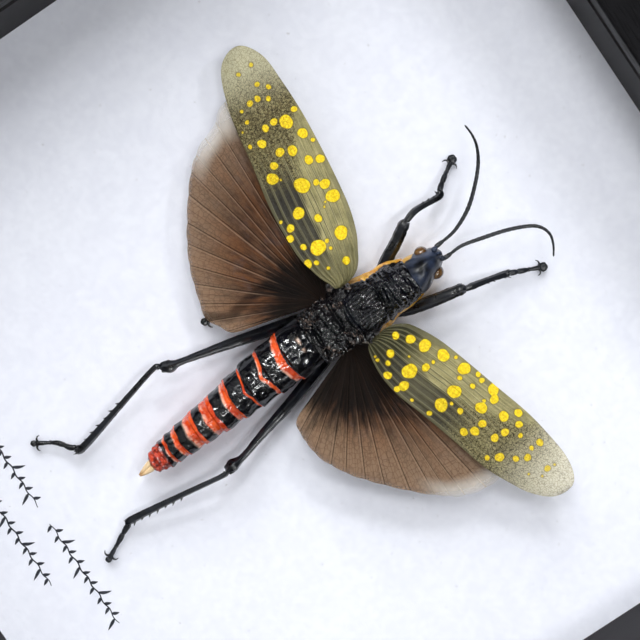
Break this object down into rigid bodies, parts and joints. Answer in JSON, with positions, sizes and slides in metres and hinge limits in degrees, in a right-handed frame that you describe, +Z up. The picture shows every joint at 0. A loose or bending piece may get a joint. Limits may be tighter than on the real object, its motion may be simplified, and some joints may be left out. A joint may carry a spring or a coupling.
{
  "type": "mounted grasshopper in a shadow box frame",
  "caption": "Square black shadow-box frame with glass, holding a dried spotted grasshopper with spread wings on a white card.",
  "frame": {"origin": "middle of the bottom of the bounding box: the box stands on its bottom rail, and the depth counts from the front of the moulding to the heads of the hanger's nails", "axes": "+Z up, towards the insect's head; -Y out of the front through the glass; +X to the viewer's right"},
  "size_m": [0.152, 0.0354, 0.152],
  "materials": {
    "frame_wood": "near-black satin paint on wood",
    "liner": "dark grey matt painted spacer strips",
    "glass": "clear picture glass",
    "card": "white mottled paper on card",
    "back_board": "brown pressed board",
    "steel": "zinc-plated steel",
    "cuticle": "glossy blue-black insect cuticle",
    "eye": "glossy brown",
    "abdomen": "glossy black with orange bands",
    "ovipositor": "ivory to ochre horn",
    "forewing": "olive leathery wing with yellow spots",
    "hindwing": "thin pleated brown membrane",
    "glue": "dried clear glue"
  },
  "bodies": {
    "root": {"abdomen": "abdomen", "antenna_left": "cuticle", "antenna_right": "cuticle", "back_board": "back_board", "backing_card": "card", "eye_left": "eye", "eye_right": "eye", "femur_fore_left": "cuticle", "femur_fore_right": "cuticle", "femur_hind_left": "cuticle", "femur_hind_right": "cuticle", "femur_mid_left": "cuticle", "femur_mid_right": "cuticle", "flex_point_bottom_1": "steel", "flex_point_bottom_2": "steel", "flex_point_left_1": "steel", "flex_point_left_2": "steel", "flex_point_right_1": "steel", "flex_point_right_2": "steel", "flex_point_top_1": "steel", "flex_point_top_2": "steel", "forewing_left": "forewing", "forewing_right": "forewing", "glass": "glass", "glue_dab": "glue", "hanger": "steel", "hanger_nail_left": "steel", "hanger_nail_right": "steel", "head": "cuticle", "hindwing_left": "hindwing", "hindwing_right": "hindwing", "liner_bottom": "liner", "liner_left": "liner", "liner_right": "liner", "liner_top": "liner", "ovipositor": "ovipositor", "pronotum": "cuticle", "pterothorax": "cuticle", "rail_bottom": "frame_wood", "rail_left": "frame_wood", "rail_right": "frame_wood", "rail_top": "frame_wood", "tarsus_fore_left": "cuticle", "tarsus_fore_right": "cuticle", "tarsus_hind_left": "cuticle", "tarsus_hind_right": "cuticle", "tarsus_mid_left": "cuticle", "tarsus_mid_right": "cuticle", "tibia_fore_left": "cuticle", "tibia_fore_right": "cuticle", "tibia_hind_left": "cuticle", "tibia_hind_right": "cuticle", "tibia_mid_left": "cuticle", "tibia_mid_right": "cuticle"}
  },
  "joints": []
}
